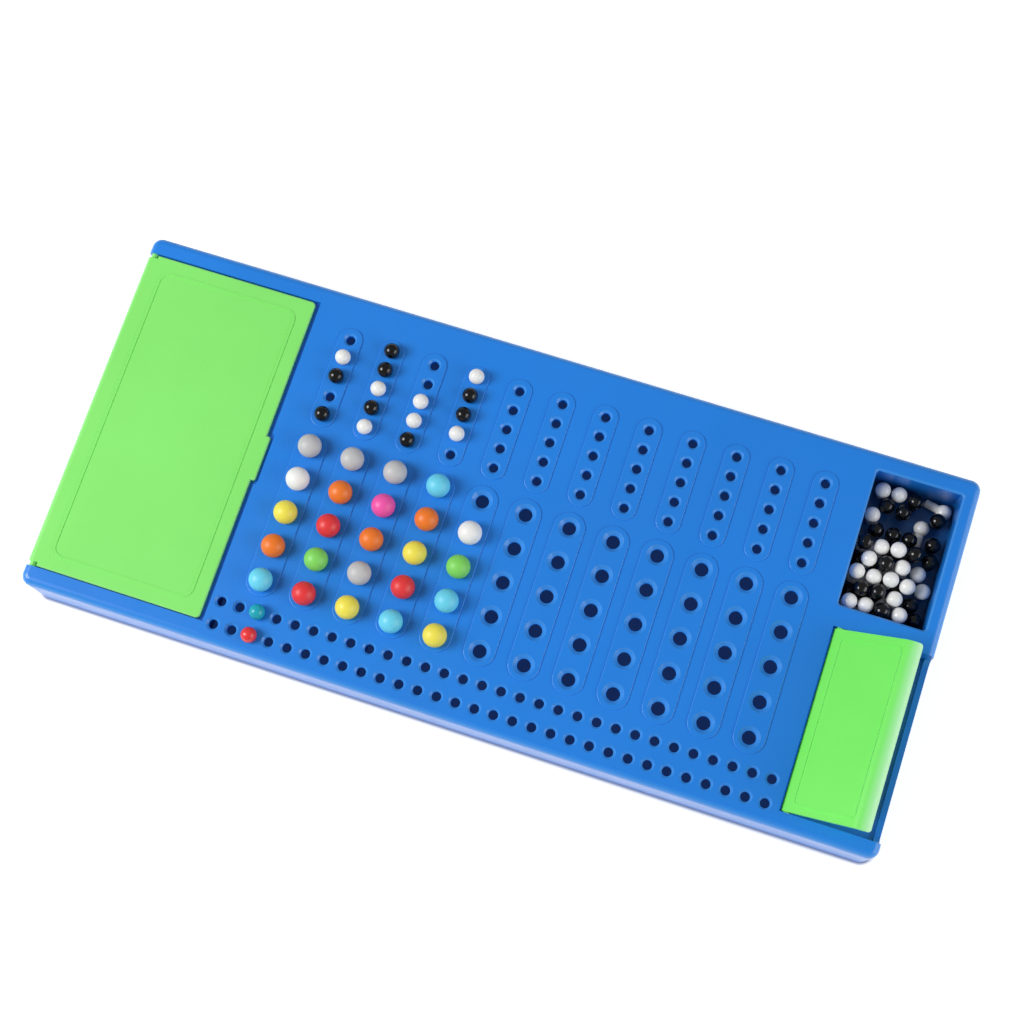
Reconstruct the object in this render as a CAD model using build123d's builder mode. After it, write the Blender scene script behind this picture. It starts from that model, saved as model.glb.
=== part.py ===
from build123d import *
import os
from math import asin, cos, degrees, radians, sin, sqrt

# A code breaking peg game: a long, shallow board with twelve guess columns, a storage tray under
# a hinged lid at the left end, and at the right end an open tray of clue pegs and a well for the
# secret code, shut off from the guesser by a hinged shield.
# Lengths are in millimetres. The origin is the middle of the board's footprint, on the table.
# +X runs to the code well's end, +Y to the far long side, +Z up.

# Board moulding
board_length = 294.7
board_width = 129.0
board_height = 25.0
corner_radius = 3.5
top_edge_radius = 2.6
skirt_wall = 2.0
roof_thickness = 2.5
tray_wall = 1.7
tray_floor_height = 5.0
tray_floor_thickness = 2.0
rib_thickness = 1.6
rib_depth = 9.0
cross_rib_columns = 3
overrun = 5.0
running_gap = 0.3
rest_gap = 0.1

# Peg grid: the guess columns run across the board, numbered from the left end, and the score
# rows run along its near side. Each pattern has as many holes as its pitch and the room allow.
column_pitch = 15.2
column_end_room = 12.0
grid_shift = 0.6
code_row_pitch = 12.0
key_row_pitch = 7.0
key_to_code_gap = 12.0
key_far_room = 12.0
score_hole_pitch = 6.5
score_end_room = 4.0
score_row_count = 2
score_row_pitch = 8.0
score_from_near = 6.5
code_to_score_gap = 10.4

# Peg holes: each has a cone-shaped seat at 45 degrees round its bore
stem_clearance = 0.15
code_seat_radius = 3.65
key_seat_radius = 2.35

# Raised pads on the deck: a long one with round ends for each column of holes
pad_height = 0.4
pad_edge_radius = 0.25
code_pad_half_width = 5.3
key_pad_half_width = 4.2

# Pegs: a ball on a straight stem
code_ball_radius = 4.0
code_stem_radius = 2.15
code_stem_reach = 10.5
key_ball_radius = 2.65
key_stem_radius = 1.45
key_stem_reach = 7.0
seat_gap = 0.25
stem_tip_chamfer = 0.4

# Storage bed at the left end and its lid
bed_length = 64.1
rail_width = 6.3
ledge_width = 1.0
end_ledge_width = 2.9
shoulder_depth = 1.5
shoulder_reach = 1.0
lid_side_gap = 0.4
lid_end_gap = 1.6
lid_drop = 0.2
lid_thickness = 1.8
lid_edge_radius = 0.6
lid_corner_radius = 1.5
lid_line_inset = 4.9
lid_line_corner = 4.0
lid_tab_length = 16.0
lid_tab_reach = 1.5
lid_tab_corner = 0.8
finger_notch_length = 18.5
finger_notch_width = 1.0

# Raised line on each lid: a rectangular frame moulded on its top
line_width = 0.8
line_height = 0.2

# Hinges: a round barrel along one edge with a stub pin at each end, held in posts under the rails
barrel_radius = 1.9
barrel_clearance = 0.4
pin_radius = 1.2
pin_clearance = 0.06
pin_reach = 1.6
pin_end_gap = 0.4
lid_notch_length = 3.8
lid_notch_depth = 1.3
post_length = 5.4
post_width = 3.5

# Clue tray at the right end, far half
clue_tray_length = 29.1
clue_tray_corner = 1.0
clue_tray_bevel = 0.7
clue_tray_from_right = 34.2
tray_divider = 7.3

# Code well at the right end, near half, and its shield
well_width = 62.4
well_rail = 5.6
well_from_right = 33.6
well_floor_top = 15.0
well_floor_thickness = 2.5
well_hole_from_right = 18.5
well_hole_end_room = 5.0
end_cut_drop = 9.0
end_cut_corner = 3.0
shield_gap = 0.5
shield_near_gap = 0.4
shield_far_gap = 0.6
shield_open_angle = 38.0
shield_thickness = 1.8
shield_flat = 26.1
shield_curl_radius = 4.5
shield_curl_angle = 78.0
shield_corner_radius = 1.2
shield_line_inset = 2.4
shield_line_end_inset = 0.3
shield_line_corner = 2.0

# Guesses on the board, column by column from the left end, each from the far row to the near row
guesses = [
    ["grey", "white", "yellow", "orange", "light_blue"],
    ["grey", "orange", "red", "green", "red"],
    ["grey", "pink", "orange", "grey", "yellow"],
    ["light_blue", "orange", "yellow", "red", "light_blue"],
    [None, "white", "green", "light_blue", "yellow"],
]
clues = [
    [None, "white", "black", None, "black"],
    ["black", "black", "white", "black", "white"],
    [None, None, "white", "white", "black"],
    ["white", "black", "black", "white", None],
]
score_colours = ["teal", "red"]
score_count = 3

# Code pegs put away under the lid: one layer in rows, each row one colour
stored_colours = ["grey", "white", "yellow", "orange", "light_blue", "red", "green", "pink"]
stored_per_colour = 3
stored_swing = 32.0
turn_step = 137.5

# Loose clue pegs in the open tray, as shares of the tray's inside length and width and the
# way each stands: on the floor, on the pegs below it, or on their stems. A peg that would stand
# in another one's way is left out, and rows of pegs lie under the near part of the heap.
heap_margin = 0.3
heap_lean = 7.0
under_rows_share = 0.6
heap_shares = [
    ("white", 0.12, 0.07, "top"),
    ("white", 0.31, 0.08, "middle"),
    ("black", 0.50, 0.07, "top"),
    ("white", 0.70, 0.08, "middle"),
    ("black", 0.89, 0.09, "floor"),
    ("black", 0.21, 0.18, "top"),
    ("black", 0.40, 0.19, "top"),
    ("white", 0.60, 0.18, "middle"),
    ("black", 0.80, 0.19, "floor"),
    ("white", 0.11, 0.29, "top"),
    ("white", 0.31, 0.29, "middle"),
    ("white", 0.50, 0.30, "top"),
    ("white", 0.70, 0.29, "middle"),
    ("white", 0.89, 0.31, "floor"),
    ("white", 0.20, 0.40, "top"),
    ("black", 0.40, 0.40, "top"),
    ("white", 0.59, 0.41, "middle"),
    ("white", 0.79, 0.42, "floor"),
    ("black", 0.11, 0.51, "top"),
    ("white", 0.30, 0.51, "middle"),
    ("white", 0.49, 0.52, "top"),
    ("black", 0.69, 0.53, "middle"),
    ("black", 0.88, 0.53, "floor"),
    ("black", 0.20, 0.64, "floor"),
    ("black", 0.40, 0.64, "floor"),
    ("black", 0.59, 0.64, "floor"),
    ("black", 0.86, 0.65, "floor"),
    ("white", 0.11, 0.74, "floor"),
    ("black", 0.24, 0.83, "floor"),
    ("black", 0.44, 0.82, "floor"),
    ("white", 0.15, 0.935, "floor"),
    ("white", 0.34, 0.935, "floor"),
    ("black", 0.54, 0.92, "floor"),
    ("black", 0.84, 0.83, "floor"),
]
lying_shares = [
    ("white", 0.89, 0.93, 164.0),
    ("white", 0.70, 0.77, 270.0),
]
under_row_peg_count = 2

# Places worked out from the sizes above
left_end = -board_length / 2
right_end = board_length / 2
far_side = board_width / 2
near_side = -board_width / 2
skirt_far = far_side - skirt_wall
skirt_left = left_end + skirt_wall
skirt_right = right_end - skirt_wall
roof_under = board_height - roof_thickness
pad_top = board_height + pad_height
tray_floor_top = tray_floor_height + tray_floor_thickness
rail_face = far_side - rail_width
bed_end = left_end + bed_length
tray_inner_y = rail_face - ledge_width
tray_inner_end = bed_end - end_ledge_width
pin_hole_radius = pin_radius + pin_clearance
pin_hole_depth = pin_reach + pin_end_gap
code_hole_radius = code_stem_radius + stem_clearance
key_hole_radius = key_stem_radius + stem_clearance

lid_top = board_height - lid_drop
lid_under = lid_top - lid_thickness
lid_side_y = rail_face - lid_side_gap
lid_right = bed_end - lid_end_gap
lid_axis_x = left_end + running_gap + barrel_radius
lid_axis_z = lid_top - barrel_radius
lid_barrel_y = lid_side_y - lid_notch_depth
lid_notch_end = left_end + running_gap + lid_notch_length
lid_cut_z = lid_axis_z - barrel_radius - barrel_clearance
lid_post_end = left_end + post_length

well_left = right_end - well_from_right
well_near = near_side + well_rail
well_far = well_near + well_width
well_hole_count = int((well_width - 2 * well_hole_end_room) / code_row_pitch) + 1
clue_left = right_end - clue_tray_from_right
clue_right = clue_left + clue_tray_length
clue_far = rail_face
clue_near = well_far + tray_divider
clue_tray_width = clue_far - clue_near
well_hole_x = right_end - well_hole_from_right
well_post_end = well_left + post_length
shield_axis_x = well_left + shield_gap + barrel_radius
shield_axis_z = board_height - barrel_radius
shield_near = well_near + shield_near_gap
shield_far = well_far - shield_far_gap
deck_middle_x = (bed_end + well_left) / 2
deck_length = well_left - bed_end

grid_middle_x = deck_middle_x - grid_shift
column_count = int((deck_length - 2 * column_end_room) / column_pitch) + 1
score_hole_count = int((deck_length - 2 * score_end_room) / score_hole_pitch) + 1
score_rows_width = (score_row_count - 1) * score_row_pitch
near_room = score_from_near + score_rows_width + code_to_score_gap
rows_room = board_width - near_room - key_to_code_gap - key_far_room
row_count = int(rows_room / (code_row_pitch + key_row_pitch)) + 1
column_xs = [
    grid_middle_x + (column - (column_count - 1) / 2) * column_pitch for column in range(column_count)
]
first_code_row_y = near_side + near_room + (row_count - 1) * code_row_pitch
code_row_ys = [first_code_row_y - row * code_row_pitch for row in range(row_count)]
key_far_y = first_code_row_y + key_to_code_gap + (row_count - 1) * key_row_pitch
key_row_ys = [key_far_y - row * key_row_pitch for row in range(row_count)]
score_far_y = code_row_ys[-1] - code_to_score_gap
score_row_ys = [score_far_y - row * score_row_pitch for row in range(score_row_count)]
score_start_x = grid_middle_x - (score_hole_count - 1) * score_hole_pitch / 2
score_xs = [score_start_x + hole * score_hole_pitch for hole in range(score_hole_count)]

code_places = [(x, y) for x in column_xs for y in code_row_ys]
key_places = [(x, y) for x in column_xs for y in key_row_ys]
score_places = [(x, y) for x in score_xs for y in score_row_ys]


def span(start_x, end_x, start_y, end_y, corner=0):
    """Draws a rectangle between two corners, in the sketch that is open."""
    with Locations(((start_x + end_x) / 2, (start_y + end_y) / 2)):
        if corner:
            RectangleRounded(end_x - start_x, end_y - start_y, corner)
        else:
            Rectangle(end_x - start_x, end_y - start_y)


def frame_line(start_x, end_x, start_y, end_y, corner):
    """Draws a rectangular frame as wide as the raised line, in the sketch that is open."""
    span(start_x, end_x, start_y, end_y, corner)
    with Locations(((start_x + end_x) / 2, (start_y + end_y) / 2)):
        RectangleRounded(
            end_x - start_x - 2 * line_width,
            end_y - start_y - 2 * line_width,
            corner - line_width,
            mode=Mode.SUBTRACT,
        )


def pin_bore(x, wall_y, z, side):
    """Cuts a blind hole for a stub pin into a wall whose face is at wall_y, going towards side."""
    with Locations(Location((x, wall_y + side * pin_hole_depth / 2, z), (90, 0, 0))):
        Cylinder(pin_hole_radius, pin_hole_depth, mode=Mode.SUBTRACT)


def peg_solid(ball_radius, stem_radius, stem_reach):
    """A peg standing on end, with the middle of its ball at the origin."""
    join_depth = sqrt(ball_radius**2 - stem_radius**2)
    join_angle = degrees(asin(join_depth / ball_radius))
    with BuildPart() as peg:
        with BuildSketch(Plane.XZ):
            with BuildLine():
                CenterArc((0, 0), ball_radius, 90, -90 - join_angle)
                Polyline(
                    (stem_radius, -join_depth),
                    (stem_radius, stem_tip_chamfer - stem_reach),
                    (stem_radius - stem_tip_chamfer, -stem_reach),
                    (0, -stem_reach),
                    (0, ball_radius),
                )
            make_face()
        revolve(axis=Axis.Z)
    return peg.part


def seat_height(ball_radius, seat_radius):
    """Height of a ball's middle over the deck when it sits in a 45 degree seat."""
    return (ball_radius + seat_gap) * sqrt(2) - seat_radius


def write(shape, name):
    shape.label = name
    export_step(shape, f"parts/{name}.step")


os.makedirs("parts", exist_ok=True)

# The rim: skirt walls, the rails of the roof round the openings, and the posts for the hinges
with BuildPart() as board_rim:
    with BuildSketch():
        RectangleRounded(board_length, board_width, corner_radius)
    extrude(amount=board_height)
    fillet(board_rim.faces().sort_by(Axis.Z)[-1].edges(), top_edge_radius)
    with BuildSketch():
        span(skirt_left, skirt_right, -skirt_far, skirt_far, corner_radius - skirt_wall)
    extrude(amount=roof_under, mode=Mode.SUBTRACT)
    with BuildSketch(Plane.XY.offset(tray_floor_height)):
        span(skirt_left - skirt_wall / 2, lid_post_end, rail_face, skirt_far + skirt_wall / 2)
        span(skirt_left - skirt_wall / 2, lid_post_end, -skirt_far - skirt_wall / 2, -rail_face)
    extrude(amount=roof_under - tray_floor_height)
    with BuildSketch(Plane.XY.offset(well_floor_top - well_floor_thickness)):
        span(well_left, well_post_end, -skirt_far - skirt_wall / 2, well_near)
        span(well_left, well_post_end, well_far, well_far + post_width)
    extrude(amount=roof_under - well_floor_top + well_floor_thickness)
    with BuildSketch(Plane.XY.offset(roof_under)):
        span(left_end - overrun, bed_end, -rail_face, rail_face)
        span(bed_end, well_left, -skirt_far, skirt_far)
        span(clue_left, clue_right, clue_near, clue_far, clue_tray_corner)
        span(well_left, right_end + overrun, well_near, well_far)
    extrude(amount=roof_thickness, mode=Mode.SUBTRACT)
    with BuildSketch(Plane.XY.offset(board_height - clue_tray_bevel)):
        span(clue_left, clue_right, clue_near, clue_far, clue_tray_corner)
    extrude(amount=clue_tray_bevel, taper=-45, mode=Mode.SUBTRACT)
    with BuildSketch(Plane.XY.offset(lid_cut_z)):
        span(left_end - overrun, skirt_left + skirt_wall / 2, -rail_face, rail_face)
    extrude(amount=board_height, mode=Mode.SUBTRACT)
    with BuildSketch(Plane.YZ.offset(skirt_right - skirt_wall / 2)) as end_cut:
        span(well_near, well_far, board_height - end_cut_drop, board_height + overrun)
        fillet(end_cut.vertices().group_by(Axis.Y)[0], end_cut_corner)
    extrude(amount=skirt_wall + overrun, mode=Mode.SUBTRACT)
    pin_bore(lid_axis_x, rail_face, lid_axis_z, 1)
    pin_bore(lid_axis_x, -rail_face, lid_axis_z, -1)
    pin_bore(shield_axis_x, well_far, shield_axis_z, 1)
    pin_bore(shield_axis_x, well_near, shield_axis_z, -1)
write(board_rim.part, "board_rim")

# The deck: the perforated plate of the roof, with a raised pad under each column of holes and
# the notch that lets a finger in under the lid's tab
with BuildPart() as peg_deck:
    with BuildSketch(Plane.XY.offset(roof_under)):
        span(bed_end, well_left, -skirt_far, skirt_far)
    extrude(amount=roof_thickness)
    with BuildSketch(Plane.XY.offset(roof_under)):
        span(clue_left, clue_right, clue_near, clue_far, clue_tray_corner)
    extrude(amount=roof_thickness, mode=Mode.SUBTRACT)
    with BuildSketch(Plane.XY.offset(board_height - clue_tray_bevel)):
        span(clue_left, clue_right, clue_near, clue_far, clue_tray_corner)
    extrude(amount=clue_tray_bevel, taper=-45, mode=Mode.SUBTRACT)
    with BuildSketch(Plane.XY.offset(lid_under)):
        with Locations((bed_end, 0)):
            SlotOverall(finger_notch_length, 2 * finger_notch_width, rotation=90)
    extrude(amount=roof_thickness, mode=Mode.SUBTRACT)
    with BuildSketch(Plane.XY.offset(board_height)):
        for row_ys, half_width in ((code_row_ys, code_pad_half_width), (key_row_ys, key_pad_half_width)):
            pad_length = row_ys[0] - row_ys[-1] + 2 * half_width
            with Locations(*[(x, (row_ys[0] + row_ys[-1]) / 2) for x in column_xs]):
                SlotOverall(pad_length, 2 * half_width, rotation=90)
    extrude(amount=pad_height)
    fillet(peg_deck.edges().group_by(Axis.Z)[-1], pad_edge_radius)
    with Locations(*[(x, y, pad_top) for x, y in code_places]):
        CounterSinkHole(code_hole_radius, code_seat_radius, counter_sink_angle=90)
    with Locations(*[(x, y, pad_top) for x, y in key_places]):
        CounterSinkHole(key_hole_radius, key_seat_radius, counter_sink_angle=90)
    with Locations(*[(x, y, board_height) for x, y in score_places]):
        CounterSinkHole(key_hole_radius, key_seat_radius, counter_sink_angle=90)
write(peg_deck.part, "peg_deck")

# The storage tray under the lid: floor and three walls, open to the board's end wall, with a
# ledge along the top that the lid rests on and a shoulder that carries it under the deck's edge
with BuildPart() as peg_tray:
    with BuildSketch(Plane.XY.offset(tray_floor_height)):
        outer_y = tray_inner_y + tray_wall
        span(skirt_left, tray_inner_end + tray_wall, -outer_y, outer_y)
    extrude(amount=roof_under - tray_floor_height)
    with BuildSketch(Plane.XY.offset(roof_under - shoulder_depth)):
        span(tray_inner_end, bed_end + shoulder_reach, -outer_y, outer_y)
    extrude(amount=shoulder_depth)
    with BuildSketch(Plane.XY.offset(roof_under)):
        span(skirt_left, bed_end, -rail_face, rail_face)
    extrude(amount=lid_under - roof_under)
    with BuildSketch(Plane.XY.offset(tray_floor_top)) as tray_inside:
        span(skirt_left - overrun, tray_inner_end, -tray_inner_y, tray_inner_y)
        fillet(tray_inside.vertices().group_by(Axis.X)[-1], clue_tray_corner)
    extrude(amount=board_height, mode=Mode.SUBTRACT)
    with BuildSketch(Plane.XY.offset(tray_floor_height)):
        span(skirt_left - overrun, lid_post_end, rail_face, far_side)
        span(skirt_left - overrun, lid_post_end, -far_side, -rail_face)
    extrude(amount=board_height, mode=Mode.SUBTRACT)
    with BuildSketch(Plane.XY.offset(lid_cut_z)):
        span(skirt_left - overrun, lid_post_end, -far_side, far_side)
    extrude(amount=board_height, mode=Mode.SUBTRACT)
write(peg_tray.part, "peg_tray")

# The open tray for the clue pegs
with BuildPart() as clue_tray:
    with BuildSketch(Plane.XY.offset(tray_floor_height)):
        span(
            clue_left - tray_wall,
            clue_right + tray_wall,
            clue_near - tray_wall,
            clue_far + tray_wall,
            clue_tray_corner + tray_wall,
        )
    extrude(amount=roof_under - tray_floor_height)
    with BuildSketch(Plane.XY.offset(tray_floor_top)):
        span(clue_left, clue_right, clue_near, clue_far, clue_tray_corner)
    extrude(amount=board_height, mode=Mode.SUBTRACT)
write(clue_tray.part, "clue_tray")

# The well for the secret code: a raised floor with five peg holes and three walls
with BuildPart() as code_well:
    with BuildSketch(Plane.XY.offset(well_floor_top - well_floor_thickness)):
        span(well_left - tray_wall, skirt_right, well_near - tray_wall, well_far + tray_wall)
    extrude(amount=roof_under - well_floor_top + well_floor_thickness)
    with BuildSketch(Plane.XY.offset(well_floor_top)):
        span(well_left, skirt_right + overrun, well_near, well_far)
    extrude(amount=board_height, mode=Mode.SUBTRACT)
    with BuildSketch(Plane.XY.offset(well_floor_top - well_floor_thickness)):
        span(well_left, well_post_end, near_side, well_near)
        span(well_left, well_post_end, well_far, well_far + post_width)
    extrude(amount=board_height, mode=Mode.SUBTRACT)
    with Locations((well_hole_x, (well_near + well_far) / 2, well_floor_top)):
        with GridLocations(0, code_row_pitch, 1, well_hole_count):
            CounterSinkHole(code_hole_radius, code_seat_radius, counter_sink_angle=90)
write(code_well.part, "code_well")

# Ribs under the deck, clear of every hole: two along the board, and short ones across
rib_far_y = (code_row_ys[0] + key_row_ys[-1]) / 2
rib_near_y = (code_row_ys[-1] + score_row_ys[0]) / 2
ribs_left = bed_end + shoulder_reach
ribs_right = clue_left - tray_wall
with BuildPart() as deck_ribs:
    with BuildSketch(Plane.XY.offset(roof_under - rib_depth)):
        for rib_y in (rib_far_y, rib_near_y):
            span(ribs_left, ribs_right, rib_y - rib_thickness / 2, rib_y + rib_thickness / 2)
        for first_x in column_xs[cross_rib_columns - 1 : -1 : cross_rib_columns]:
            rib_x = first_x + column_pitch / 2
            rib_sides = (rib_x - rib_thickness / 2, rib_x + rib_thickness / 2)
            span(*rib_sides, rib_far_y + rib_thickness, skirt_far)
            span(*rib_sides, rib_near_y + rib_thickness, rib_far_y - rib_thickness)
            span(*rib_sides, -skirt_far, rib_near_y - rib_thickness)
    extrude(amount=rib_depth)
write(deck_ribs.part, "deck_ribs")

# The lid over the storage tray, hinged along the board's left end, with a tab to lift it by
with BuildPart() as tray_lid:
    with BuildSketch(Plane.XY.offset(lid_under)) as lid_plate:
        span(lid_axis_x, lid_right, -lid_side_y, lid_side_y)
        fillet(lid_plate.vertices().group_by(Axis.X)[-1], lid_corner_radius)
        with Locations((lid_right, 0)):
            RectangleRounded(2 * lid_tab_reach, lid_tab_length, lid_tab_corner)
        for side in (-1, 1):
            notch_ys = sorted((side * lid_barrel_y, side * (lid_side_y + overrun)))
            with Locations(((lid_axis_x + lid_notch_end) / 2, sum(notch_ys) / 2)):
                Rectangle(lid_notch_end - lid_axis_x, notch_ys[1] - notch_ys[0], mode=Mode.SUBTRACT)
    extrude(amount=lid_thickness)
    lid_rims = tray_lid.faces().sort_by(Axis.Z)[-1].edges()
    fillet(lid_rims.filter_by(lambda edge: edge.center().X > lid_notch_end + running_gap), lid_edge_radius)
    with BuildSketch(Plane.XY.offset(lid_top)):
        line_y = lid_side_y - lid_line_inset
        line_left = lid_axis_x + lid_line_inset
        frame_line(line_left, lid_right - lid_line_inset, -line_y, line_y, lid_line_corner)
    extrude(amount=line_height)
    with Locations(Location((lid_axis_x, 0, lid_axis_z), (90, 0, 0))):
        Cylinder(barrel_radius, 2 * lid_barrel_y)
        Cylinder(pin_radius, 2 * (rail_face + pin_reach))
write(tray_lid.part, "tray_lid")

# The shield over the code well: a plate whose outer edge curls down, drawn shut and then opened
with BuildPart() as code_shield:
    with BuildSketch(Plane.XZ.offset(-shield_far)):
        curl_middle = (shield_axis_x + shield_flat, board_height - shield_curl_radius)
        with BuildLine():
            outer = CenterArc(curl_middle, shield_curl_radius, 90, -shield_curl_angle)
            inner = CenterArc(curl_middle, shield_curl_radius - shield_thickness, 90, -shield_curl_angle)
            Line(outer @ 1, inner @ 1)
            Line(inner @ 0, (shield_axis_x, board_height - shield_thickness))
            Line((shield_axis_x, board_height - shield_thickness), (shield_axis_x, board_height))
            Line((shield_axis_x, board_height), outer @ 0)
        make_face()
    extrude(amount=shield_far - shield_near)
    lip = code_shield.faces().sort_by(Axis.X)[-1]
    fillet(lip.edges().filter_by(Axis.Y, reverse=True), shield_corner_radius)
    with BuildSketch(Plane.XY.offset(board_height)):
        frame_line(
            shield_axis_x + shield_line_inset,
            shield_axis_x + shield_flat - shield_line_end_inset,
            shield_near + shield_line_inset,
            shield_far - shield_line_inset,
            shield_line_corner,
        )
    extrude(amount=line_height)
    with Locations(Location((shield_axis_x, (shield_near + shield_far) / 2, shield_axis_z), (90, 0, 0))):
        Cylinder(barrel_radius, shield_far - shield_near)
    pins_near = well_near - pin_reach
    pins_far = well_far + pin_reach
    with Locations(Location((shield_axis_x, (pins_near + pins_far) / 2, shield_axis_z), (90, 0, 0))):
        Cylinder(pin_radius, pins_far - pins_near)
shield_axis = Axis((shield_axis_x, 0, shield_axis_z), (0, -1, 0))
write(code_shield.part.rotate(shield_axis, shield_open_angle), "code_shield")

# Pegs in play, one piece each
code_peg = peg_solid(code_ball_radius, code_stem_radius, code_stem_reach)
key_peg = peg_solid(key_ball_radius, key_stem_radius, key_stem_reach)
code_peg_z = pad_top + seat_height(code_ball_radius, code_seat_radius)
key_peg_z = pad_top + seat_height(key_ball_radius, key_seat_radius)
for column, (x, colours) in enumerate(zip(column_xs, guesses), 1):
    for row, (y, colour) in enumerate(zip(code_row_ys, colours), 1):
        if colour:
            write(Pos(x, y, code_peg_z) * code_peg, f"code_peg_c{column}_r{row}_{colour}")
for column, (x, colours) in enumerate(zip(column_xs, clues), 1):
    for row, (y, colour) in enumerate(zip(key_row_ys, colours), 1):
        if colour:
            write(Pos(x, y, key_peg_z) * key_peg, f"key_peg_c{column}_r{row}_{colour}")
for y, colour in zip(score_row_ys, score_colours):
    spot = Pos(score_xs[score_count - 1], y, key_peg_z - pad_height)
    write(spot * key_peg, f"score_peg_{colour}")

# Code pegs put away in the storage tray, lying on the floor, three of each colour to a row
code_rest_tilt = degrees(asin((code_ball_radius - code_stem_radius) / code_stem_reach))
stored_pitch_x = (tray_inner_end - skirt_left) / stored_per_colour
stored_pitch_y = 2 * tray_inner_y / len(stored_colours)
for row, colour in enumerate(stored_colours):
    pegs = []
    for place in range(stored_per_colour):
        number = row * stored_per_colour + place
        heading = 180 * (number % 2) + stored_swing * sin(radians(number * turn_step))
        middle_x = skirt_left + (place + 1 / 2) * stored_pitch_x
        middle_y = tray_inner_y - (row + 1 / 2) * stored_pitch_y
        back = (code_stem_reach - code_ball_radius) / 2
        ball_x = middle_x - back * cos(radians(heading))
        ball_y = middle_y - back * sin(radians(heading))
        ball_z = tray_floor_top + code_ball_radius + rest_gap
        spot = Pos(ball_x, ball_y, ball_z) * Rot(0, 0, heading) * Rot(0, -90 + code_rest_tilt, 0)
        pegs.append(spot * code_peg)
    write(Compound(children=pegs), f"stored_{colour}_pegs")

# Loose clue pegs in the open tray: some lie on the floor, the rest stand on it or on those
key_rest_tilt = degrees(asin((key_ball_radius - key_stem_radius) / key_stem_reach))
key_lying_z = tray_floor_top + key_ball_radius + rest_gap
standing_z = {
    "floor": tray_floor_top + key_stem_reach + rest_gap,
    "middle": key_lying_z + key_stem_radius + key_stem_reach + heap_margin,
    "top": key_lying_z + key_ball_radius + key_stem_reach + rest_gap,
}
heap = {"white": [], "black": []}
taken = []
for number, (colour, length_share, width_share, level) in enumerate(heap_shares):
    lean = heap_lean * sin(radians(number * turn_step)) ** 2
    place = Vector(clue_left + length_share * clue_tray_length, clue_near + width_share * clue_tray_width)
    if all((place - other).length > 2 * key_ball_radius + rest_gap for other in taken):
        taken.append(place)
        spot = Pos(place.X, place.Y, standing_z[level])
        heap[colour].append(spot * Rot(0, 0, number * turn_step) * Rot(0, lean, 0) * key_peg)
for colour, length_share, width_share, heading in lying_shares:
    spot = Pos(
        clue_left + length_share * clue_tray_length,
        clue_near + width_share * clue_tray_width,
        key_lying_z,
    )
    heap[colour].append(spot * Rot(0, 0, heading) * Rot(0, -90 + key_rest_tilt, 0) * key_peg)
under_pitch_x = key_ball_radius + key_stem_reach + heap_margin
under_pitch_y = 2 * key_ball_radius + heap_margin
for row in range(int(under_rows_share * clue_tray_width / under_pitch_y)):
    for place in range(under_row_peg_count):
        spot = Pos(
            clue_left + heap_margin + key_ball_radius + place * under_pitch_x,
            clue_near + heap_margin + key_ball_radius + row * under_pitch_y,
            key_lying_z,
        )
        colour = ("white", "black")[(row + place) % 2]
        heap[colour].append(spot * Rot(0, -90 + key_rest_tilt, 0) * key_peg)
for colour, pegs in heap.items():
    write(Compound(children=pegs), f"loose_{colour}_pegs")
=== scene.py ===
import math

import bpy
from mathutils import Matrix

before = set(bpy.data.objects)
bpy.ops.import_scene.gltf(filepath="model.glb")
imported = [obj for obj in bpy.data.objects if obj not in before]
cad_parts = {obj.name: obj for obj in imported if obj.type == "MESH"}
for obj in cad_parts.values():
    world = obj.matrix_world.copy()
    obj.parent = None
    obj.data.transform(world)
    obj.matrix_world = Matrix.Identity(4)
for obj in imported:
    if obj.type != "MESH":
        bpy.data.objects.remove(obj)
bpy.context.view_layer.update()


# The camera: a long lens that looks almost straight down from just beyond the board's near side,
# turned so that the board lies across the picture from upper left to lower right.
camera_data = bpy.data.cameras.new("product camera")
camera_data.sensor_width = 36.0
camera_data.lens = 64.316
camera_data.clip_start = 0.01
camera_data.clip_end = 20.0
camera = bpy.data.objects.new("product camera", camera_data)
camera.location = (0.07615, -0.12065, 0.61320)
camera.rotation_euler = (math.radians(13.84424), math.radians(2.86890), math.radians(18.33221))
bpy.context.scene.collection.objects.link(camera)
bpy.context.scene.camera = camera


# The sweep of paper under the game: one wide white sheet that the board lies on. To the eye and in
# reflections it is nearly pure white, and it still takes the board's shadow. Along the board's foot
# its tone and glow are darkened as a painted contact shadow, and under the board it is painted deep
# navy, a painted shade that shows down the peg holes.
paper_width = 6.0
paper_glow = 0.6
paper_white = (0.86, 0.86, 0.86, 1.0)
paper_white_glow = (1.0, 1.0, 1.0, 1.0)
# Painted shade: the navy tone and navy glow of the paper under the board
painted_shade_under_board = (0.060, 0.080, 0.160, 1.0)
painted_shade_glow_under_board = (0.009, 0.030, 0.137, 1.0)
foot_corner_radius = 0.0035
glow_starts = foot_corner_radius - 0.0001
glow_full = foot_corner_radius + 0.0023
white_starts = foot_corner_radius - 0.0003
white_full = foot_corner_radius + 0.0011

bpy.ops.object.select_all(action="DESELECT")
bpy.ops.mesh.primitive_plane_add(size=paper_width, location=(0.0, 0.0, 0.0))
paper = bpy.context.object
paper.name = "paper_sweep"
paper_material = bpy.data.materials.new("white paper")
paper_material.use_nodes = True
nodes = paper_material.node_tree.nodes
links = paper_material.node_tree.links
paper_skin = nodes["Principled BSDF"]
paper_skin.inputs["Roughness"].default_value = 0.9
paper_skin.inputs["Specular IOR Level"].default_value = 0.0

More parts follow.
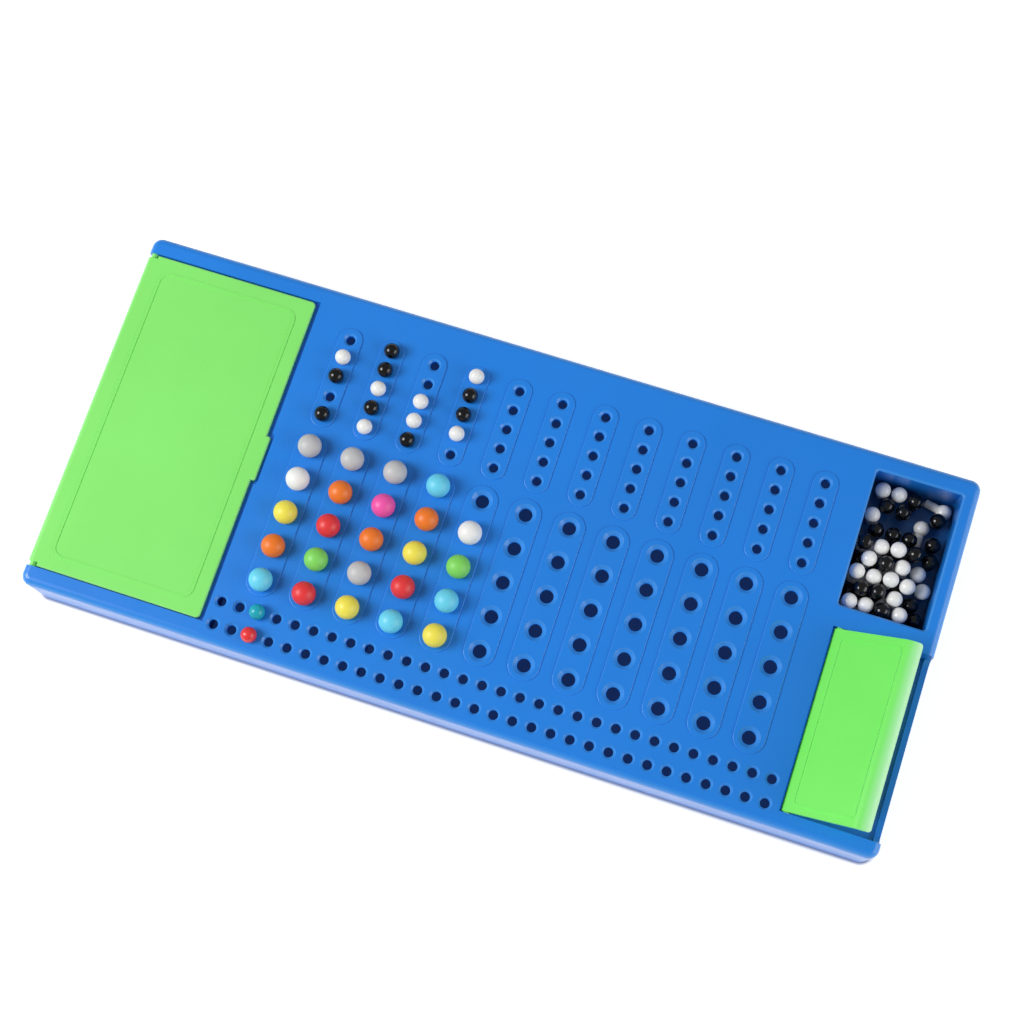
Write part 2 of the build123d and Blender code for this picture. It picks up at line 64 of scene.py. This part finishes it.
# The glow is seen by the camera and in reflections, and sheds no soft light on the game
rays = nodes.new("ShaderNodeLightPath")
seen_or_mirrored = nodes.new("ShaderNodeMath")
seen_or_mirrored.operation = "MAXIMUM"
links.new(rays.outputs["Is Camera Ray"], seen_or_mirrored.inputs[0])
links.new(rays.outputs["Is Glossy Ray"], seen_or_mirrored.inputs[1])
seen_at_all = nodes.new("ShaderNodeMath")
seen_at_all.operation = "MAXIMUM"
links.new(seen_or_mirrored.outputs[0], seen_at_all.inputs[0])
links.new(rays.outputs["Is Transmission Ray"], seen_at_all.inputs[1])
glow = nodes.new("ShaderNodeMath")
glow.operation = "MULTIPLY"
glow.inputs[1].default_value = paper_glow
links.new(seen_at_all.outputs[0], glow.inputs[0])
links.new(glow.outputs[0], paper_skin.inputs["Emission Strength"])

# How far a point lies from the foot's core, which is the foot less its corner radius all round
rim_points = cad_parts["board_rim"].data.vertices
foot_core = [max(abs(point.co[axis]) for point in rim_points) - foot_corner_radius for axis in (0, 1)]
spot = nodes.new("ShaderNodeTexCoord")
spot_away = nodes.new("ShaderNodeVectorMath")
spot_away.operation = "ABSOLUTE"
links.new(spot.outputs["Object"], spot_away.inputs[0])
past_core = nodes.new("ShaderNodeVectorMath")
past_core.operation = "SUBTRACT"
past_core.inputs[1].default_value = (*foot_core, 0.0)
links.new(spot_away.outputs["Vector"], past_core.inputs[0])
past_or_none = nodes.new("ShaderNodeVectorMath")
past_or_none.operation = "MAXIMUM"
past_or_none.inputs[1].default_value = (0.0, 0.0, 0.0)
links.new(past_core.outputs["Vector"], past_or_none.inputs[0])
from_core = nodes.new("ShaderNodeVectorMath")
from_core.operation = "LENGTH"
links.new(past_or_none.outputs["Vector"], from_core.inputs[0])

# The glow and the sheet's own tone go from dark to white just past the foot's edge: a painted shadow
# along the foot and painted navy shade under the board
glow_rise = nodes.new("ShaderNodeMapRange")
glow_rise.interpolation_type = "SMOOTHSTEP"
glow_rise.inputs["From Min"].default_value = glow_starts
glow_rise.inputs["From Max"].default_value = glow_full
links.new(from_core.outputs["Value"], glow_rise.inputs["Value"])
glow_tone = nodes.new("ShaderNodeMix")
glow_tone.data_type = "RGBA"
glow_tone.inputs["A"].default_value = painted_shade_glow_under_board
glow_tone.inputs["B"].default_value = paper_white_glow
links.new(glow_rise.outputs["Result"], glow_tone.inputs["Factor"])
links.new(glow_tone.outputs["Result"], paper_skin.inputs["Emission Color"])
white_rise = nodes.new("ShaderNodeMapRange")
white_rise.inputs["From Min"].default_value = white_starts
white_rise.inputs["From Max"].default_value = white_full
links.new(from_core.outputs["Value"], white_rise.inputs["Value"])
paper_tone = nodes.new("ShaderNodeMix")
paper_tone.data_type = "RGBA"
paper_tone.inputs["A"].default_value = painted_shade_under_board
paper_tone.inputs["B"].default_value = paper_white
links.new(white_rise.outputs["Result"], paper_tone.inputs["Factor"])
links.new(paper_tone.outputs["Result"], paper_skin.inputs["Base Color"])
paper.data.materials.append(paper_material)


# The studio lights: a soft box at the left, a wide low one at the right, which shows along the
# shield's lip and the board's right edge, and an even pale surround.
def soft_box(name, place, width, height, power):
    """A rectangular lamp that shines at the middle of the board's foot."""
    lamp = bpy.data.lights.new(name, "AREA")
    lamp.shape = "RECTANGLE"
    lamp.size = width
    lamp.size_y = height
    lamp.energy = power
    holder = bpy.data.objects.new(name, lamp)
    holder.location = place
    x, y, z = place
    tilt = math.atan2(math.hypot(x, y), z)
    turn = math.atan2(-y, -x) - math.pi / 2
    holder.rotation_euler = (tilt, 0.0, turn)
    bpy.context.scene.collection.objects.link(holder)


soft_box("left soft box", place=(-0.82, -0.28, 0.75), width=0.55, height=0.55, power=10.2)
soft_box("right soft box", place=(0.95, -0.08, 0.45), width=0.9, height=0.6, power=5.4)
world = bpy.data.worlds.new("pale surround")
bpy.context.scene.world = world
world.use_nodes = True
surround = world.node_tree.nodes["Background"]
surround.inputs["Color"].default_value = (1.0, 1.0, 1.0, 1.0)
surround.inputs["Strength"].default_value = 0.28
bpy.context.scene.view_settings.view_transform = "Standard"


# The board: one injection moulding in mid blue plastic. Its satin skin has a very fine grain, a
# faint change of tone where the melt flowed and patches that handling has polished. Its rounded
# edges and hole seats are paler with a painted highlight, and down in the clue tray a painted shade
# makes its tone darker.
moulded = bpy.data.node_groups.new("moulded plastic", "ShaderNodeTree")
for label, kind, start in (
    ("Colour", "NodeSocketColor", (0.5, 0.5, 0.5, 1.0)),
    ("Flow Tint", "NodeSocketFloat", 0.06),
    ("Edge Highlight Colour", "NodeSocketColor", (1.0, 1.0, 1.0, 1.0)),
    ("Edge Highlight", "NodeSocketFloat", 0.1),
    ("Lip Highlight", "NodeSocketFloat", 0.0),
    ("Painted Recess Shade", "NodeSocketFloat", 0.0),
    ("Roughness", "NodeSocketFloat", 0.4),
    ("Grain Size", "NodeSocketFloat", 1400.0),
    ("Grain Depth", "NodeSocketFloat", 0.00004),
):
    socket = moulded.interface.new_socket(label, in_out="INPUT", socket_type=kind)
    socket.default_value = start
moulded.interface.new_socket("Colour", in_out="OUTPUT", socket_type="NodeSocketColor")
moulded.interface.new_socket("Roughness", in_out="OUTPUT", socket_type="NodeSocketFloat")
moulded.interface.new_socket("Normal", in_out="OUTPUT", socket_type="NodeSocketVector")
nodes = moulded.nodes
links = moulded.links
given = nodes.new("NodeGroupInput")
result = nodes.new("NodeGroupOutput")
place = nodes.new("ShaderNodeTexCoord")

# Slow, faint changes of tone where the melt flowed
flow = nodes.new("ShaderNodeTexNoise")
flow.inputs["Scale"].default_value = 22.0
flow.inputs["Detail"].default_value = 3.0
links.new(place.outputs["Object"], flow.inputs["Vector"])
flow_level = nodes.new("ShaderNodeMapRange")
flow_level.inputs["From Min"].default_value = 0.3
flow_level.inputs["From Max"].default_value = 0.7
flow_level.inputs["To Min"].default_value = -1.0
flow_level.inputs["To Max"].default_value = 1.0
links.new(flow.outputs["Fac"], flow_level.inputs["Value"])
flow_change = nodes.new("ShaderNodeMath")
flow_change.operation = "MULTIPLY_ADD"
flow_change.inputs[2].default_value = 1.0
links.new(flow_level.outputs["Result"], flow_change.inputs[0])
links.new(given.outputs["Flow Tint"], flow_change.inputs[1])
tinted = nodes.new("ShaderNodeVectorMath")
tinted.operation = "SCALE"
links.new(given.outputs["Colour"], tinted.inputs[0])
links.new(flow_change.outputs[0], tinted.inputs["Scale"])

# A painted highlight on rounded edges and seats, the faces between level and upright
facing = nodes.new("ShaderNodeSeparateXYZ")
links.new(place.outputs["Normal"], facing.inputs[0])
flatness = nodes.new("ShaderNodeMath")
flatness.operation = "ABSOLUTE"
links.new(facing.outputs["Z"], flatness.inputs[0])
not_level = nodes.new("ShaderNodeMapRange")
not_level.inputs["From Min"].default_value = 0.98
not_level.inputs["From Max"].default_value = 0.75
links.new(flatness.outputs[0], not_level.inputs["Value"])
not_upright = nodes.new("ShaderNodeMapRange")
not_upright.inputs["From Min"].default_value = 0.15
not_upright.inputs["From Max"].default_value = 0.4
links.new(flatness.outputs[0], not_upright.inputs["Value"])
edge = nodes.new("ShaderNodeMath")
edge.operation = "MULTIPLY"
links.new(not_level.outputs["Result"], edge.inputs[0])
links.new(not_upright.outputs["Result"], edge.inputs[1])

# A painted highlight on the curled lip, the faces on an upper side that turn towards the board's
# right end
towards_right = nodes.new("ShaderNodeMapRange")
towards_right.interpolation_type = "SMOOTHSTEP"
towards_right.inputs["From Min"].default_value = -0.55
towards_right.inputs["From Max"].default_value = 0.60
links.new(facing.outputs["X"], towards_right.inputs["Value"])
upper_side = nodes.new("ShaderNodeMapRange")
upper_side.inputs["From Min"].default_value = 0.2
upper_side.inputs["From Max"].default_value = 0.5
links.new(facing.outputs["Z"], upper_side.inputs["Value"])
lip = nodes.new("ShaderNodeMath")
lip.operation = "MULTIPLY"
links.new(towards_right.outputs["Result"], lip.inputs[0])
links.new(upper_side.outputs["Result"], lip.inputs[1])
lip_highlight = nodes.new("ShaderNodeMath")
lip_highlight.operation = "MULTIPLY"
links.new(lip.outputs[0], lip_highlight.inputs[0])
links.new(given.outputs["Lip Highlight"], lip_highlight.inputs[1])
pale = nodes.new("ShaderNodeMath")
pale.operation = "MULTIPLY_ADD"
links.new(edge.outputs[0], pale.inputs[0])
links.new(given.outputs["Edge Highlight"], pale.inputs[1])
links.new(lip_highlight.outputs[0], pale.inputs[2])
paler = nodes.new("ShaderNodeMix")
paler.data_type = "RGBA"
links.new(pale.outputs[0], paler.inputs["Factor"])
links.new(tinted.outputs["Vector"], paler.inputs["A"])
links.new(given.outputs["Edge Highlight Colour"], paler.inputs["B"])

# Painted shade: a darker tone further down inside the board
height = nodes.new("ShaderNodeSeparateXYZ")
links.new(place.outputs["Object"], height.inputs[0])
depth = nodes.new("ShaderNodeMapRange")
depth.inputs["From Min"].default_value = 0.0225
depth.inputs["From Max"].default_value = 0.0150
links.new(height.outputs["Z"], depth.inputs["Value"])
darkened = nodes.new("ShaderNodeMath")
darkened.operation = "MULTIPLY"
links.new(depth.outputs["Result"], darkened.inputs[0])
links.new(given.outputs["Painted Recess Shade"], darkened.inputs[1])
tone_left = nodes.new("ShaderNodeMath")
tone_left.operation = "SUBTRACT"
tone_left.inputs[0].default_value = 1.0
links.new(darkened.outputs[0], tone_left.inputs[1])
toned = nodes.new("ShaderNodeVectorMath")
toned.operation = "SCALE"
links.new(paler.outputs["Result"], toned.inputs[0])
links.new(tone_left.outputs[0], toned.inputs["Scale"])
links.new(toned.outputs["Vector"], result.inputs["Colour"])

# The fine grain, in the roughness and as bumps
grain = nodes.new("ShaderNodeTexNoise")
grain.inputs["Detail"].default_value = 2.0
links.new(place.outputs["Object"], grain.inputs["Vector"])
links.new(given.outputs["Grain Size"], grain.inputs["Scale"])
grain_rough = nodes.new("ShaderNodeMath")
grain_rough.operation = "MULTIPLY_ADD"
grain_rough.inputs[1].default_value = 0.12
grain_rough.inputs[2].default_value = -0.06
links.new(grain.outputs["Fac"], grain_rough.inputs[0])
rough_sum = nodes.new("ShaderNodeMath")
rough_sum.operation = "ADD"
links.new(grain_rough.outputs[0], rough_sum.inputs[0])
links.new(given.outputs["Roughness"], rough_sum.inputs[1])
bump = nodes.new("ShaderNodeBump")
bump.inputs["Strength"].default_value = 0.35
links.new(given.outputs["Grain Depth"], bump.inputs["Distance"])
links.new(grain.outputs["Fac"], bump.inputs["Height"])
links.new(bump.outputs["Normal"], result.inputs["Normal"])

# Patches that handling has polished
rubbed = nodes.new("ShaderNodeTexNoise")
rubbed.inputs["Scale"].default_value = 34.0
rubbed.inputs["Detail"].default_value = 4.0
rubbed.inputs["Roughness"].default_value = 0.65
links.new(place.outputs["Object"], rubbed.inputs["Vector"])
rubbed_smoother = nodes.new("ShaderNodeMapRange")
rubbed_smoother.inputs["From Min"].default_value = 0.45
rubbed_smoother.inputs["From Max"].default_value = 0.75
rubbed_smoother.inputs["To Min"].default_value = 0.0
rubbed_smoother.inputs["To Max"].default_value = -0.09
links.new(rubbed.outputs["Fac"], rubbed_smoother.inputs["Value"])
rough_worn = nodes.new("ShaderNodeMath")
rough_worn.operation = "ADD"
links.new(rough_sum.outputs[0], rough_worn.inputs[0])
links.new(rubbed_smoother.outputs["Result"], rough_worn.inputs[1])
links.new(rough_worn.outputs[0], result.inputs["Roughness"])


def plastic(
    name, colour, flow_tint, edge_highlight_colour, edge_highlight, roughness, grain_size, grain_depth, gloss,
    lip_highlight=0.0, painted_recess_shade=0.0,
):
    """A moulded plastic with its own colour, grain and clear top gloss, and any painted highlight on
    its edges and lip and painted shade down in its recesses.
    """
    material = bpy.data.materials.new(name)
    material.use_nodes = True
    tree = material.node_tree
    skin = tree.nodes["Principled BSDF"]
    look = tree.nodes.new("ShaderNodeGroup")
    look.node_tree = moulded
    for label, value in (
        ("Colour", (*colour, 1.0)),
        ("Flow Tint", flow_tint),
        ("Edge Highlight Colour", (*edge_highlight_colour, 1.0)),
        ("Edge Highlight", edge_highlight),
        ("Lip Highlight", lip_highlight),
        ("Painted Recess Shade", painted_recess_shade),
        ("Roughness", roughness),
        ("Grain Size", grain_size),
        ("Grain Depth", grain_depth),
    ):
        look.inputs[label].default_value = value
    tree.links.new(look.outputs["Colour"], skin.inputs["Base Color"])
    tree.links.new(look.outputs["Roughness"], skin.inputs["Roughness"])
    tree.links.new(look.outputs["Normal"], skin.inputs["Normal"])
    skin.inputs["IOR"].default_value = 1.49
    skin.inputs["Coat Weight"].default_value = gloss
    skin.inputs["Coat Roughness"].default_value = 0.12
    return material


def dress(node_name, material):
    """Gives a piece of the frame its finish."""
    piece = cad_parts[node_name]
    piece.data.materials.clear()
    piece.data.materials.append(material)


board_skin = {
    "colour": (0.010, 0.222, 0.780),
    "flow_tint": 0.04,
    "edge_highlight_colour": (0.31, 0.79, 0.89),
    # A pale cyan painted highlight on the board's rounded edges and hole seats
    "edge_highlight": 0.10,
    "roughness": 0.38,
    "grain_size": 1500.0,
    "grain_depth": 0.00003,
    "gloss": 0.15,
}
board_blue = plastic("board blue", **board_skin)
for node_name in ("board_rim", "peg_deck", "peg_tray", "code_well", "deck_ribs"):
    dress(node_name, board_blue)
# Down in the clue tray a painted shade darkens the lower walls and floor
dress("clue_tray", plastic("board blue with painted shade in the clue tray", **board_skin, painted_recess_shade=0.55))


# The storage lid: a flat moulding in bright green plastic over the tray at the board's left end,
# satin with a light gloss. It snaps into the board's posts by its stub pins.
# A pale mint, painted as a highlight on the lid's edges and the shield's lip
mint_highlight = (0.78, 0.98, 0.90)
lid_green = plastic(
    "lid green",
    colour=(0.250, 0.850, 0.165),
    flow_tint=0.03,
    # A painted highlight along the lid's rounded edges
    edge_highlight_colour=mint_highlight,
    edge_highlight=0.20,
    roughness=0.34,
    grain_size=1300.0,
    grain_depth=0.00003,
    gloss=0.2,
)
dress("tray_lid", lid_green)


# The code shield: a smaller moulding in a slightly stronger green, held by stub pins in the same
# way. It has no gloss over its satin skin, and its curled lip is paler on top with a painted
# highlight.
shield_green = plastic(
    "shield green",
    colour=(0.190, 0.930, 0.122),
    flow_tint=0.03,
    edge_highlight_colour=mint_highlight,
    edge_highlight=0.0,
    roughness=0.36,
    grain_size=1300.0,
    grain_depth=0.00002,
    gloss=0.0,
    # A painted highlight on the top of the curled lip
    lip_highlight=0.5,
)
dress("code_shield", shield_green)


# The code pegs: balls on stems, each moulded in one piece of coloured plastic with a satin skin.
# Some stand in the deck's holes by their stems, and the others lie put away under the lid.
def dress_pegs(starts, kind, colours, roughness):
    """Gives every peg of a kind its finish, by the colour that its name ends with."""
    for name, colour in colours.items():
        finish = plastic(
            f"{name.replace('_', ' ')} {kind}",
            colour=colour,
            flow_tint=0.02,
            edge_highlight_colour=colour,
            edge_highlight=0.0,
            roughness=roughness,
            grain_size=900.0,
            grain_depth=0.00001,
            gloss=0.0,
        )
        for node_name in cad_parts:
            if node_name.startswith(starts) and node_name.removesuffix("_pegs").endswith("_" + name):
                dress(node_name, finish)


peg_white = (0.900, 0.900, 0.890)
peg_red = (0.820, 0.040, 0.045)
code_peg_colours = {
    "grey": (0.560, 0.560, 0.570),
    "white": peg_white,
    "yellow": (0.920, 0.800, 0.090),
    "orange": (0.900, 0.200, 0.020),
    "light_blue": (0.150, 0.680, 0.900),
    "red": peg_red,
    "green": (0.230, 0.720, 0.120),
    "pink": (0.920, 0.100, 0.420),
}
dress_pegs(("code_peg", "stored"), "code peg", code_peg_colours, roughness=0.44)


# The clue pegs: smaller pegs of the same form, moulded in white and black plastic and polished.
# Some stand in the deck's clue holes, and the others are loose in the open tray.
clue_peg_colours = {
    "white": peg_white,
    "black": (0.003, 0.003, 0.004),
}
dress_pegs(("key_peg", "loose"), "clue peg", clue_peg_colours, roughness=0.16)


# The score pegs: two pegs of the clue pegs' size in teal and red plastic, a little less polished,
# which stand by their stems in the rows of holes along the board's near side.
score_peg_colours = {
    "teal": (0.012, 0.400, 0.500),
    "red": peg_red,
}
dress_pegs(("score_peg",), "score peg", score_peg_colours, roughness=0.24)
